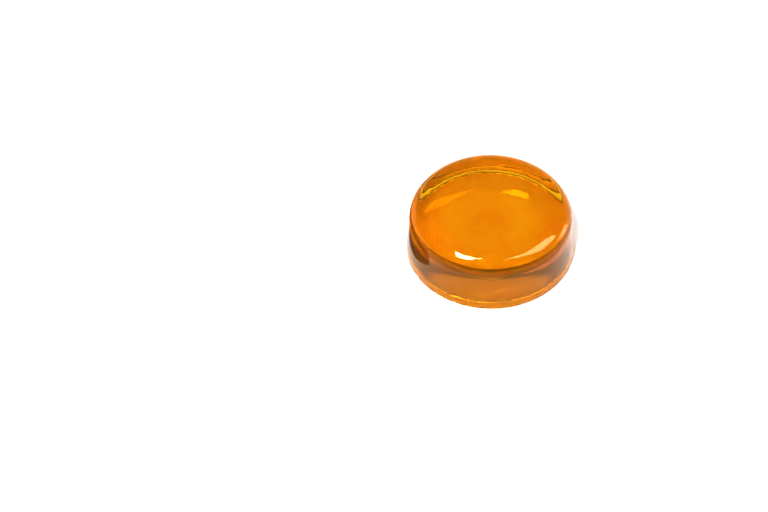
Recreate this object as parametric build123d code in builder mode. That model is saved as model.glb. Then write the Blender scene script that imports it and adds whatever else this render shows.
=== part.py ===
"""A round cake of clear amber rosin for the bows of string instruments.

The cake is one solid casting. Its mould had a flat floor, a rounded floor corner and a wall
with draft; the cake is stored turned over, so the mould's floor is its top, very slightly
crowned. The open face of the pour is underneath: the melt crept up the mould's wall and set
as a hollow with a raised rim, and the cake rests on the ring at the foot of that rim.

Millimetres, +Z up. The origin is the centre of the resting ring, on the surface that the
cake stands on.
"""
from build123d import *

import os
from math import cos, radians, sin, tan

# Overall size
BASE_RADIUS = 20.0  # widest point, on the lip around the poured face
HEIGHT = 13.0  # from the resting surface to the middle of the top

# Outer side, from the lip upwards
LIP_RADIUS = 0.35  # rounding between the resting ring and the wall
DRAFT_ANGLE = 4.6  # degrees that the wall leans in towards the top
SHOULDER_RADIUS = 2.7  # rounding between the wall and the top
EASE_RADIUS = 11.0  # slow curve that brings the shoulder out of the top
EASE_ANGLE = 9.0  # degrees of turn taken by that slow curve
CROWN_ANGLE = 1.6  # degrees that the crowned top slopes at its edge

# Poured face underneath
RING_WIDTH = 0.5  # flat ring that touches the surface
MENISCUS_ANGLE = 50.0  # degrees that the hollow's edge rises away from the ring
MENISCUS_RADIUS = 3.0  # curve that brings that edge over into the roof
ROOF_ANGLE = 2.2  # degrees that the sagging roof slopes at its edge

# The outer side, worked out so that the crown is level on the axis
draft = radians(DRAFT_ANGLE)
crown = radians(CROWN_ANGLE)
ease = radians(CROWN_ANGLE + EASE_ANGLE)
lip_rise = LIP_RADIUS * (1 + sin(draft))
shoulder_run = SHOULDER_RADIUS * (cos(draft) - sin(ease))
shoulder_rise = SHOULDER_RADIUS * (cos(ease) - sin(draft))
ease_run = EASE_RADIUS * (sin(ease) - sin(crown))
ease_rise = EASE_RADIUS * (cos(crown) - cos(ease))
wall_foot = BASE_RADIUS - LIP_RADIUS * (1 - cos(draft))
crown_foot = wall_foot - shoulder_run - ease_run
crown_slope = tan(crown / 2)
wall_length = (HEIGHT - lip_rise - shoulder_rise - ease_rise - crown_foot * crown_slope) / (
    cos(draft) - sin(draft) * crown_slope
)

# The poured face, worked out so that its roof is level on the axis
meniscus = radians(MENISCUS_ANGLE)
roof = radians(ROOF_ANGLE)
ring_outer = BASE_RADIUS - LIP_RADIUS
ring_inner = ring_outer - RING_WIDTH
roof_radius = ring_inner - MENISCUS_RADIUS * (sin(meniscus) + sin(roof))
roof_edge = MENISCUS_RADIUS * (cos(roof) - cos(meniscus))
roof_middle = roof_edge - roof_radius * tan(roof / 2)

with BuildPart() as rosin_cake:
    with BuildSketch(Plane.XZ):
        with BuildLine():
            ring = Line((ring_inner, 0), (ring_outer, 0))
            lip = JernArc(ring @ 1, ring % 1, LIP_RADIUS, 90 + DRAFT_ANGLE)
            wall = PolarLine(lip @ 1, wall_length, direction=lip % 1)
            shoulder_turn = 90 - DRAFT_ANGLE - EASE_ANGLE - CROWN_ANGLE
            shoulder = JernArc(wall @ 1, wall % 1, SHOULDER_RADIUS, shoulder_turn)
            slow_curve = JernArc(shoulder @ 1, shoulder % 1, EASE_RADIUS, EASE_ANGLE)
            top = TangentArc(slow_curve @ 1, (0, HEIGHT), tangent=slow_curve % 1)
            inward = (-cos(meniscus), sin(meniscus))
            edge = JernArc(ring @ 0, inward, MENISCUS_RADIUS, MENISCUS_ANGLE + ROOF_ANGLE)
            sag = TangentArc(edge @ 1, (0, roof_middle), tangent=edge % 1)
            Line(top @ 1, sag @ 1)
        make_face()
    revolve(axis=Axis.Z)

rosin_cake.part.label = "rosin_cake"

os.makedirs("parts", exist_ok=True)
export_step(rosin_cake.part, "parts/rosin_cake.step")
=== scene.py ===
"""A clear amber rosin cake on a pale floor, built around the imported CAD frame.

Lengths named in this file are in millimetres and angles in degrees, except where a comment
says metres. MM and radians() bring them to Blender's own units.
"""
import random
from math import cos, hypot, pi, radians, sin

import bmesh
import bpy
from mathutils import Matrix, Vector, noise


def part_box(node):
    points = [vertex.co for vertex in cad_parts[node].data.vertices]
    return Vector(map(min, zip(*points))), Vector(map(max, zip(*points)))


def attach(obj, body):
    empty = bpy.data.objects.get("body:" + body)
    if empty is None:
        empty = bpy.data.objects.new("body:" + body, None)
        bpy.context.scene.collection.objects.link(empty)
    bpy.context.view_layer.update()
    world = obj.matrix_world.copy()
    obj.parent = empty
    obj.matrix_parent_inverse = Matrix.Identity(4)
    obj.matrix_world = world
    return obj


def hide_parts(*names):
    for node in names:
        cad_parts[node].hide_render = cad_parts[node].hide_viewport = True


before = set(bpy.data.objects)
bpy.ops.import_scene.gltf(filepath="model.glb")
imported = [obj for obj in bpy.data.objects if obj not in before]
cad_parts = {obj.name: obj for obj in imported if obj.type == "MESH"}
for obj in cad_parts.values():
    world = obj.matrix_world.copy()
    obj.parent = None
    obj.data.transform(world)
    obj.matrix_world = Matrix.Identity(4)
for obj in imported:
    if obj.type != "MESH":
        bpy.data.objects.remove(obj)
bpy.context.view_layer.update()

MM = 0.001
scene = bpy.context.scene

# The cake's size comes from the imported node; the rest of its outline repeats the CAD part's
NODE = "rosin_cake"
box_low, box_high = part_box(NODE)
BASE_RADIUS = (box_high[0] - box_low[0]) / 2 / MM
HEIGHT = (box_high[2] - box_low[2]) / MM
LIP_RADIUS = 0.35
DRAFT_ANGLE = 4.6
SHOULDER_RADIUS = 2.7
EASE_RADIUS, EASE_ANGLE = 11.0, 9.0
CROWN_ANGLE = 1.6
RING_WIDTH = 0.5
RING_OUTER = BASE_RADIUS - LIP_RADIUS
RING_INNER = RING_OUTER - RING_WIDTH
RING_EDGE_RADIUS = 0.12
MENISCUS_RADIUS, MENISCUS_ANGLE = 3.0, 50.0
ROOF_ANGLE = 2.2

# Mesh density: segments around the axis, and steps along each part of the outline
SEGMENTS = 600
LIP_STEPS, WALL_STEPS, SHOULDER_STEPS, EASE_STEPS, CROWN_STEPS = 12, 20, 26, 12, 24
RING_EDGE_STEPS, MENISCUS_STEPS, ROOF_STEPS = 5, 22, 26

# Unevenness of the hand-poured casting: how far a surface swells, and over what length
WALL_WAVE = (0.03, 4.0)
POUR_WAVE = (0.01, 6.0)
LIP_WAVE = (0.04, 2.0)
RIM_WAVE = (0.15, 1.5)
RIM_SHRINK = 0.05  # draws the ragged edge of the hollow inwards, off the resting ring
POUR_SLICE, RIM_SLICE = 40, 9  # heights in the noise at which the poured face's waves are read

# The points that each wave may move: those outside an inner radius, or below a top
WALL_WAVE_INNER, POUR_WAVE_TOP = 15, 2.5
LIP_WAVE_INNER, LIP_WAVE_TOP = BASE_RADIUS - 1, 1.2

# Where each wave goes from nothing to all: heights, depths below the cake's top, or radii
WALL_FOOT_FADE, WALL_TOP_FADE = (0.4, 2.4), (0.6, 2.6)
LIP_FOOT_FADE, LIP_TOP_FADE = (0.0, 0.15), (1.2, 0.4)
POUR_FADE, RIM_FADE = (18.9, 16.9), (14.5, 17.5)

# Chips in the lip: how many, their radii and heights, their depth as a share of the radius,
# and the inner radius and top that they stay within
CHIP_COUNT = 14
CHIP_SPREAD = (0.3, 0.6)
CHIP_HEIGHT = (0.05, 0.5)
CHIP_DEPTH = 0.4
CHIP_SEED = 7
CHIP_INNER, CHIP_TOP = BASE_RADIUS - 1.2, 1.6

# One small pit in the top, behind the middle
PIT_PLACE = (0.6, 9.2)
PIT_SPREAD, PIT_DEPTH = 0.45, 0.10


# ---------------------------------------------------------------- camera

CAMERA_ELEVATION = 48.4
CAMERA_DISTANCE = 1.0  # metres
CAMERA_LENS = 197.2
PAN_LEFT, TILT_DOWN, ROLL = 1.447, 0.143, 0.888


def make_camera():
    """Look down at the cake's foot from the front, with the cake right of the middle."""
    data = bpy.data.cameras.new("camera")
    data.lens = CAMERA_LENS
    data.clip_start = 0.01
    camera = bpy.data.objects.new("camera", data)
    scene.collection.objects.link(camera)
    elevation = radians(CAMERA_ELEVATION)
    forward = Vector((0, cos(elevation), -sin(elevation)))
    right = Vector((1, 0, 0))
    up = right.cross(forward)
    turn = Matrix((right, up, -forward)).transposed().to_4x4()
    turn = turn @ Matrix.Rotation(radians(ROLL), 4, "Z")
    turn = turn @ Matrix.Rotation(radians(PAN_LEFT), 4, "Y")
    turn = turn @ Matrix.Rotation(radians(-TILT_DOWN), 4, "X")
    camera.matrix_world = Matrix.Translation(-forward * CAMERA_DISTANCE) @ turn
    scene.camera = camera


# ---------------------------------------------------------------- the cake's mesh


def add_arc(points, radius, start, end, steps):
    """Add an arc to an outline, from one direction of its outward normal to another."""
    x, z = points[-1]
    centre_x = x - radius * cos(radians(start))
    centre_z = z - radius * sin(radians(start))
    for step in range(1, steps + 1):
        angle = radians(start + (end - start) * step / steps)
        points.append((centre_x + radius * cos(angle), centre_z + radius * sin(angle)))


def outer_side():
    """Outline from the resting ring, over the lip, wall and shoulder, to the top's middle."""
    points = [(RING_OUTER, 0.0)]
    crown_normal = 90 - CROWN_ANGLE
    ease_normal = crown_normal - EASE_ANGLE
    add_arc(points, LIP_RADIUS, -90, DRAFT_ANGLE, LIP_STEPS)
    foot = points[-1]
    # the upper curves are laid out from the wall's foot, then raised to meet the height
    upper = [foot]
    add_arc(upper, SHOULDER_RADIUS, DRAFT_ANGLE, ease_normal, SHOULDER_STEPS)
    add_arc(upper, EASE_RADIUS, ease_normal, crown_normal, EASE_STEPS)
    lean = radians(DRAFT_ANGLE)
    slope = (1 - cos(radians(CROWN_ANGLE))) / sin(radians(CROWN_ANGLE))
    missing = HEIGHT - upper[-1][1] - upper[-1][0] * slope
    length = missing / (cos(lean) - sin(lean) * slope)
    for step in range(1, WALL_STEPS):
        along = length * step / WALL_STEPS
        points.append((foot[0] - along * sin(lean), foot[1] + along * cos(lean)))
    shift = (-length * sin(lean), length * cos(lean))
    points += [(x + shift[0], z + shift[1]) for x, z in upper]
    crown_radius = points[-1][0] / sin(radians(CROWN_ANGLE))
    add_arc(points, crown_radius, crown_normal, 90, CROWN_STEPS)
    return points


def poured_face():
    """Outline from the resting ring, up the melt's edge, to the roof's middle."""
    points = [(RING_INNER, 0.0)]
    rim_normal = -90 - MENISCUS_ANGLE
    roof_normal = -90 + ROOF_ANGLE
    add_arc(points, RING_EDGE_RADIUS, -90, rim_normal, RING_EDGE_STEPS)
    add_arc(points, -MENISCUS_RADIUS, rim_normal, roof_normal, MENISCUS_STEPS)
    roof_radius = points[-1][0] / sin(radians(ROOF_ANGLE))
    add_arc(points, roof_radius, roof_normal, -90, ROOF_STEPS)
    return points


def revolve(mesh, outline):
    """Turn an outline that starts and ends on the axis into a closed surface."""
    rings = []
    for x, z in outline:
        on_axis = x < 1e-6
        count = 1 if on_axis else SEGMENTS
        ring = []
        for number in range(count):
            angle = 2 * pi * number / SEGMENTS
            ring.append(mesh.verts.new((x * cos(angle) * MM, x * sin(angle) * MM, z * MM)))
        rings.append(ring)
    for low, high in zip(rings, rings[1:]):
        for number in range(SEGMENTS):
            after = (number + 1) % SEGMENTS
            if len(low) == 1:
                mesh.faces.new((low[0], high[after], high[number]))
            elif len(high) == 1:
                mesh.faces.new((low[number], low[after], high[0]))
            else:
                mesh.faces.new((low[number], low[after], high[after], high[number]))


def swell(place, wave):
    """How far a surface swells or sinks at a place."""
    height, length = wave
    return height * noise.noise(place / length)


def push_out(vertex, distance):
    """Move a vertex away from the axis."""
    outward = Vector((vertex.co.x, vertex.co.y, 0)).normalized()
    vertex.co += outward * distance * MM


def ramp(value, start, end):
    """0 at the start, 1 at the end and straight in between."""
    return min(1, max(0, (value - start) / (end - start)))


def uneven(mesh):
    """Give the casting the gentle waves of a hand-poured melt and a ragged rim."""
    for vertex in mesh.verts:
        place = vertex.co / MM
        radius = hypot(place.x, place.y)
        if radius < 1e-6:
            continue
        if place.z > LIP_RADIUS and radius > WALL_WAVE_INNER:
            share = ramp(place.z, *WALL_FOOT_FADE) * ramp(HEIGHT - place.z, *WALL_TOP_FADE)
            push_out(vertex, share * swell(place, WALL_WAVE))
        if radius < RING_INNER and place.z < POUR_WAVE_TOP:
            wavy = swell(Vector((place.x, place.y, POUR_SLICE)), POUR_WAVE)
            vertex.co.z += ramp(radius, *POUR_FADE) * wavy * MM
            ragged = swell(Vector((place.x, place.y, RIM_SLICE)), RIM_WAVE) - RIM_SHRINK
            push_out(vertex, ramp(radius, *RIM_FADE) * ragged)
        elif place.z < LIP_WAVE_TOP and radius > LIP_WAVE_INNER:
            share = ramp(place.z, *LIP_FOOT_FADE) * ramp(place.z, *LIP_TOP_FADE)
            push_out(vertex, share * (swell(place, LIP_WAVE) - LIP_WAVE[0]))


def dent(vertices, centre, spread, depth, direction):
    """Press a shallow hollow into the surface."""
    for vertex in vertices:
        reach = (vertex.co / MM - centre).length / spread
        if reach < 1:
            vertex.co += direction * depth * (1 - reach**2) * MM


def chip_lip(mesh):
    """Knock small chips out of the lip."""
    random.seed(CHIP_SEED)
    low = [vertex for vertex in mesh.verts if vertex.co.z < CHIP_TOP * MM]
    rim = [vertex for vertex in low if hypot(vertex.co.x, vertex.co.y) > CHIP_INNER * MM]
    for _ in range(CHIP_COUNT):
        turn = random.uniform(0, 2 * pi)
        spread = random.uniform(*CHIP_SPREAD)
        height = random.uniform(*CHIP_HEIGHT)
        outward = Vector((cos(turn), sin(turn), 0))
        centre = outward * BASE_RADIUS + Vector((0, 0, height))
        dent(rim, centre, spread, CHIP_DEPTH * spread, -outward)


def make_cake():
    """The cast cake, which stands for the CAD node."""
    mesh = bmesh.new()
    under, outer = poured_face(), outer_side()
    under[-1] = (0.0, under[-1][1])
    outer[-1] = (0.0, outer[-1][1])
    revolve(mesh, under[::-1] + outer)
    bmesh.ops.recalc_face_normals(mesh, faces=mesh.faces)
    uneven(mesh)
    chip_lip(mesh)
    dent(mesh.verts, Vector((*PIT_PLACE, HEIGHT)), PIT_SPREAD, PIT_DEPTH, Vector((0, 0, -1)))
    for face in mesh.faces:
        face.smooth = True
    data = bpy.data.meshes.new("cast_cake")
    mesh.to_mesh(data)
    mesh.free()
    cake = bpy.data.objects.new("cast_cake", data)
    scene.collection.objects.link(cake)
    return cake


# ---------------------------------------------------------------- materials

ROSIN_IOR = 1.52
CLARITY = 0.94  # share of the light that passes into the resin
ROSIN_ABSORPTION = (8.0, 24.0, 70.0)  # per metre of path, in red, green and blue
HEADROOM = 1.02  # keeps the volume's colour above zero in every channel
ROSIN_TINT = (1.0, 0.72, 0.02)
# deeper colour, for the real swirls and for the painted shade
DEEP_TINT_AND_SHADE = (0.92, 0.48, 0.012)
DUST_TINT = (1.0, 0.9, 0.7)
WARM_SHEEN = (0.92, 0.58, 0.22)

# Cooling rings: their pitch, how far they wander, and the radii between which they show
RIPPLE_PITCH, RIPPLE_DRIFT = 0.55, 0.8
RIPPLE_INNER, RIPPLE_OUTER = 9.5, 15.0
# Radii over which painted shade makes the tint deeper towards the edge, and paler away from the
# middle, leaving a lighter painted ring of focused light between
PAINTED_SHADE_EDGE_INNER, PAINTED_SHADE_EDGE_OUTER = 9.0, 15.0
PAINTED_SHADE_MIDDLE_INNER, PAINTED_SHADE_MIDDLE_OUTER = 3.0, 8.0
# Sizes of the other patterns
SWIRL_SIZE, PATCH_SIZE, SCUFF_SIZE, SPECK_SIZE = 7.0, 3.0, 3.5, 0.6
# Dust and scuffs fade out up the wall between two heights, and inwards between two radii
DUST_BOTTOM, DUST_TOP = 1.0, 6.0
DUST_INNER, DUST_OUTER = 17.5, 19.0

# Values of the noise between which each pattern sets in
SWIRL_RANGE, SMUDGE_RANGE = (0.35, 0.7), (0.5, 0.75)
RIPPLE_RANGE, SCUFF_RANGE, SPECK_RANGE = (0.35, 0.6), (0.45, 0.55), (0.48, 0.56)
# Half-widths of a scuff and of a speck, from solid to faded, as shares of their cells
SCUFF_WIDTH, SPECK_WIDTH = (0.004, 0.016), (0.08, 0.2)
# Widths over which the rings set in and fade out
RIPPLE_START, RIPPLE_END = 3, 2

# How much each pattern deepens the tint (the swirls for real, the ripples, edge and middle as painted
# shade), roughens the surface and raises it
SWIRL_DEPTH, RIPPLE_PAINTED_SHADE, EDGE_PAINTED_SHADE, MIDDLE_PAINTED_SHADE = 0.35, 0.8, 0.6, 0.35
SMUDGE_ROUGHNESS, SCUFF_ROUGHNESS, DUST_ROUGHNESS = 0.05, 0.15, 0.45
RIPPLE_RELIEF, SWIRL_RELIEF, SCUFF_RELIEF, DUST_RELIEF = 0.1, 1.0, -0.6, 1.0
RELIEF = 0.006

# Sockets of the Mix node when it mixes colours
MIX_SHARE, MIX_FIRST, MIX_SECOND, MIX_RESULT = 0, 6, 7, 2


def add_node(tree, kind, inputs, **settings):
    """Add a node; each input gets a value, or a link if it is given a socket."""
    node = tree.nodes.new("ShaderNode" + kind)
    for name, value in settings.items():
        setattr(node, name, value)
    for name, value in inputs.items():
        if isinstance(value, bpy.types.NodeSocket):
            tree.links.new(value, node.inputs[name])
        else:
            node.inputs[name].default_value = value
    return node


def calculate(tree, operation, *values):
    """One step of arithmetic on sockets or numbers."""
    return add_node(tree, "Math", dict(enumerate(values)), operation=operation).outputs[0]


def product(tree, *values):
    """Sockets and numbers multiplied together."""
    total = values[0]
    for value in values[1:]:
        total = calculate(tree, "MULTIPLY", total, value)
    return total


def weighted_sum(tree, *pairs):
    """Patterns added up, each with its weight."""
    total = product(tree, *pairs[0])
    for pattern, weight in pairs[1:]:
        total = calculate(tree, "ADD", total, product(tree, pattern, weight))
    return total


def fade(tree, value, start, end, low=0.0, high=1.0):
    """Move smoothly from the low value to the high one as the input goes from start to end."""
    inputs = {"Value": value, "From Min": start, "From Max": end, "To Min": low, "To Max": high}
    return add_node(tree, "MapRange", inputs, interpolation_type="SMOOTHSTEP").outputs[0]


def mix_colours(tree, share, first, second):
    """From the first colour to the second one as the share goes from 0 to 1."""
    inputs = {MIX_SHARE: share, MIX_FIRST: first, MIX_SECOND: second}
    return add_node(tree, "Mix", inputs, data_type="RGBA").outputs[MIX_RESULT]


def cloud(tree, place, size, detail=2.0, distortion=0.0):
    """Soft noise of a size: one value, and three more that differ from it."""
    inputs = {"Vector": place, "Scale": 1 / (size * MM), "Detail": detail}
    outputs = add_node(tree, "TexNoise", {**inputs, "Distortion": distortion}).outputs
    return outputs[0], add_node(tree, "SeparateColor", {0: outputs["Color"]}).outputs


def cells(tree, place, size, feature):
    """Distance to the middle or the edge of random cells of a size."""
    inputs = {"Vector": place, "Scale": 1 / (size * MM)}
    return add_node(tree, "TexVoronoi", inputs, feature=feature).outputs["Distance"]


def cooling_rings(tree, radius, drift, patches):
    """Fine rings in the outer part of the flat faces, as the casting cooled from its edge."""
    bend = product(tree, drift, RIPPLE_DRIFT * MM)
    phase = product(tree, calculate(tree, "ADD", radius, bend), 2 * pi / (RIPPLE_PITCH * MM))
    start = fade(tree, radius, RIPPLE_INNER * MM, (RIPPLE_INNER + RIPPLE_START) * MM)
    end = fade(tree, radius, RIPPLE_OUTER * MM, (RIPPLE_OUTER + RIPPLE_END) * MM, 1.0, 0.0)
    spread = fade(tree, patches, *RIPPLE_RANGE)
    return product(tree, calculate(tree, "SINE", phase), start, end, spread)


def scuffs(tree, place, patches, low):
    """Hairline scratches, in patches low on the wall."""
    distance = cells(tree, place, SCUFF_SIZE, "DISTANCE_TO_EDGE")
    line = fade(tree, distance, *SCUFF_WIDTH, 1.0, 0.0)
    return product(tree, line, fade(tree, patches, *SCUFF_RANGE), low)


def specks(tree, place, patches, low):
    """Rosin dust that clings low on the wall."""
    grain = fade(tree, cells(tree, place, SPECK_SIZE, "F1"), *SPECK_WIDTH, 1.0, 0.0)
    return product(tree, grain, fade(tree, patches, *SPECK_RANGE), low)


def volume_of_rosin(tree):
    """Colour that deepens with the length of the path."""
    density = max(ROSIN_ABSORPTION) * HEADROOM
    clear = [1 - share / density for share in ROSIN_ABSORPTION]
    return add_node(tree, "VolumeAbsorption", {"Color": (*clear, 1), "Density": density})


def amber_rosin():
    """Clear amber resin: the tint sits in the surface colour and the depth in the volume, with
    painted shade in the surface colour at the ripples, edge and middle.
    """
    material = bpy.data.materials.new("amber_rosin_look")
    material.use_nodes = True
    tree = material.node_tree
    shader = tree.nodes["Principled BSDF"]
    shader.inputs["Specular Tint"].default_value = (*WARM_SHEEN, 1)
    shader.inputs["IOR"].default_value = ROSIN_IOR
    shader.inputs["Transmission Weight"].default_value = CLARITY

    place = tree.nodes.new("ShaderNodeTexCoord").outputs["Object"]
    height = add_node(tree, "SeparateXYZ", {0: place}).outputs[2]
    across = add_node(tree, "VectorMath", {0: place, 1: (1, 1, 0)}, operation="MULTIPLY").outputs[0]
    radius = add_node(tree, "VectorMath", {0: across}, operation="LENGTH").outputs["Value"]
    low = fade(tree, height, DUST_BOTTOM * MM, DUST_TOP * MM, 1.0, 0.0)
    low = product(tree, low, fade(tree, radius, DUST_INNER * MM, DUST_OUTER * MM))

    patches = cloud(tree, place, PATCH_SIZE)[1]
    # the rings are real relief in the bump, and in the tint they also paint light and dark lines of
    # light bent by the ripples
    rings = cooling_rings(tree, radius, patches[0], patches[1])
    lines = scuffs(tree, place, patches[2], low)
    dust = specks(tree, place, patches[0], low)
    swirl, streaks = cloud(tree, place, SWIRL_SIZE, detail=3.0, distortion=1.5)

    # painted shade: the tint deepens towards the edge and in the middle, so a lighter painted ring of
    # focused light lies between them
    edge = fade(tree, radius, PAINTED_SHADE_EDGE_INNER * MM, PAINTED_SHADE_EDGE_OUTER * MM)
    middle = fade(tree, radius, PAINTED_SHADE_MIDDLE_INNER * MM, PAINTED_SHADE_MIDDLE_OUTER * MM, 1.0, 0.0)
    swirl = fade(tree, swirl, *SWIRL_RANGE)
    # real swirls of deeper colour, plus painted shade from the ripples, the edge and the middle
    depth = weighted_sum(
        tree, (swirl, SWIRL_DEPTH), (rings, RIPPLE_PAINTED_SHADE), (edge, EDGE_PAINTED_SHADE), (middle, MIDDLE_PAINTED_SHADE)
    )
    tint = mix_colours(tree, depth, (*ROSIN_TINT, 1), (*DEEP_TINT_AND_SHADE, 1))
    tree.links.new(mix_colours(tree, dust, tint, (*DUST_TINT, 1)), shader.inputs["Base Color"])

    smudge = fade(tree, streaks[1], *SMUDGE_RANGE)
    rough = weighted_sum(
        tree, (smudge, SMUDGE_ROUGHNESS), (lines, SCUFF_ROUGHNESS), (dust, DUST_ROUGHNESS)
    )
    tree.links.new(rough, shader.inputs["Roughness"])

    level = weighted_sum(
        tree,
        (rings, RIPPLE_RELIEF),
        (streaks[0], SWIRL_RELIEF),
        (lines, SCUFF_RELIEF),
        (dust, DUST_RELIEF),
    )
    bump = add_node(tree, "Bump", {"Strength": 1.0, "Distance": RELIEF * MM, "Height": level})
    tree.links.new(bump.outputs[0], shader.inputs["Normal"])

    volume = volume_of_rosin(tree).outputs[0]
    tree.links.new(volume, tree.nodes["Material Output"].inputs["Volume"])
    return material


def matt(name, grey, roughness):
    """A plain matt grey."""
    material = bpy.data.materials.new(name)
    material.use_nodes = True
    shader = material.node_tree.nodes["Principled BSDF"]
    shader.inputs["Base Color"].default_value = (grey, grey, grey, 1)
    shader.inputs["Roughness"].default_value = roughness
    return material


# ---------------------------------------------------------------- floor, flag and light

FLOOR_SIZE = 3000
FLOOR_GAP = 0.05
FLOOR_GREY, FLOOR_ROUGHNESS = 0.9, 0.8

# A dark card to the left of the cake: its place across, its near and far end, and its height
FLAG_X, FLAG_NEAR, FLAG_FAR, FLAG_HEIGHT = -22.3, -13, 40, 11
FLAG_GREY, FLAG_ROUGHNESS = 0.15, 0.9

# The studio's walls go from pale low down to a dim, warm ceiling. A rise is the direction's
# own: -1 straight down, 0 level and 1 straight up.
WALL_COLOUR, WALL_RISE = (0.9, 0.9, 0.9, 1), 0.3
CEILING_COLOUR, CEILING_RISE = (0.15, 0.11, 0.09, 1), 0.6

# Each soft box: width, depth and distance in metres, watts, elevation, azimuth and spin.
# Azimuth 0 is in front and grows to the right; spin turns a box about the line to the cake.
LIGHTS = {
    "key_left": (0.038, 0.12, 0.6, 0.9, 61.5, -170, -33),
    "key_right": (0.20, 0.09, 0.6, 0.6, 58.5, 155, 0),
    "side": (0.16, 0.30, 0.6, 1.1, 25, 113, 0),
    "main": (0.09, 0.09, 0.7, 4.7, 62, -20, 0),
}


def make_panel(name, corners, material):
    """A flat four-sided piece for the stage."""
    data = bpy.data.meshes.new(name)
    data.from_pydata([Vector(corner) * MM for corner in corners], [], [(0, 1, 2, 3)])
    data.materials.append(material)
    panel = bpy.data.objects.new(name, data)
    scene.collection.objects.link(panel)
    return panel


def make_floor():
    """A plain floor, a hair below the resting ring."""
    half = FLOOR_SIZE / 2
    level = box_low[2] / MM - FLOOR_GAP
    corners = [(-half, -half, level), (half, -half, level), (half, half, level), (-half, half, level)]
    floor = make_panel("floor", corners, matt("pale_floor", FLOOR_GREY, FLOOR_ROUGHNESS))


def make_flag():
    """A low dark card, seen only in reflections, that takes the glare off the left side."""
    feet = [(FLAG_X, FLAG_NEAR, 0), (FLAG_X, FLAG_FAR, 0)]
    tops = [(FLAG_X, FLAG_FAR, FLAG_HEIGHT), (FLAG_X, FLAG_NEAR, FLAG_HEIGHT)]
    flag = make_panel("flag", feet + tops, matt("black_card", FLAG_GREY, FLAG_ROUGHNESS))
    flag.visible_camera = flag.visible_shadow = False
    flag.visible_diffuse = flag.visible_transmission = False


def make_light(name, width, depth, distance, energy, elevation, azimuth, spin):
    """A soft box that faces the cake."""
    data = bpy.data.lights.new(name, "AREA")
    data.shape = "RECTANGLE"
    data.size, data.size_y = width, depth
    data.energy = energy
    light = bpy.data.objects.new(name, data)
    scene.collection.objects.link(light)
    rise, turn = radians(elevation), radians(azimuth)
    direction = Vector((sin(turn) * cos(rise), -cos(turn) * cos(rise), sin(rise)))
    light.location = direction * distance
    facing = direction.to_track_quat("Z", "Y").to_matrix().to_4x4()
    facing = facing @ Matrix.Rotation(radians(spin), 4, "Z")
    light.rotation_euler = facing.to_euler()
    # the main light leaves no highlight of its own
    light.visible_glossy = name != "main"


def make_world():
    """Even studio walls, bright low down and dim overhead."""
    world = bpy.data.worlds.new("studio")
    scene.world = world
    world.use_nodes = True
    tree = world.node_tree
    position = tree.nodes.new("ShaderNodeTexCoord").outputs["Generated"]
    rise = add_node(tree, "SeparateXYZ", {0: position}).outputs["Z"]
    shades = add_node(tree, "ValToRGB", {0: rise})
    shades.color_ramp.interpolation = "EASE"
    low, high = shades.color_ramp.elements
    low.position, low.color = WALL_RISE, WALL_COLOUR
    high.position, high.color = CEILING_RISE, CEILING_COLOUR
    tree.links.new(shades.outputs[0], tree.nodes["Background"].inputs["Color"])


# ---------------------------------------------------------------- putting it together

make_camera()
cake = make_cake()
cake.data.materials.append(amber_rosin())
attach(cake, "root")
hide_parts(NODE)
make_floor()
make_flag()
make_world()
for name, settings in LIGHTS.items():
    make_light(name, *settings)
scene.view_settings.view_transform = "Standard"
scene.view_settings.look = "Medium High Contrast"
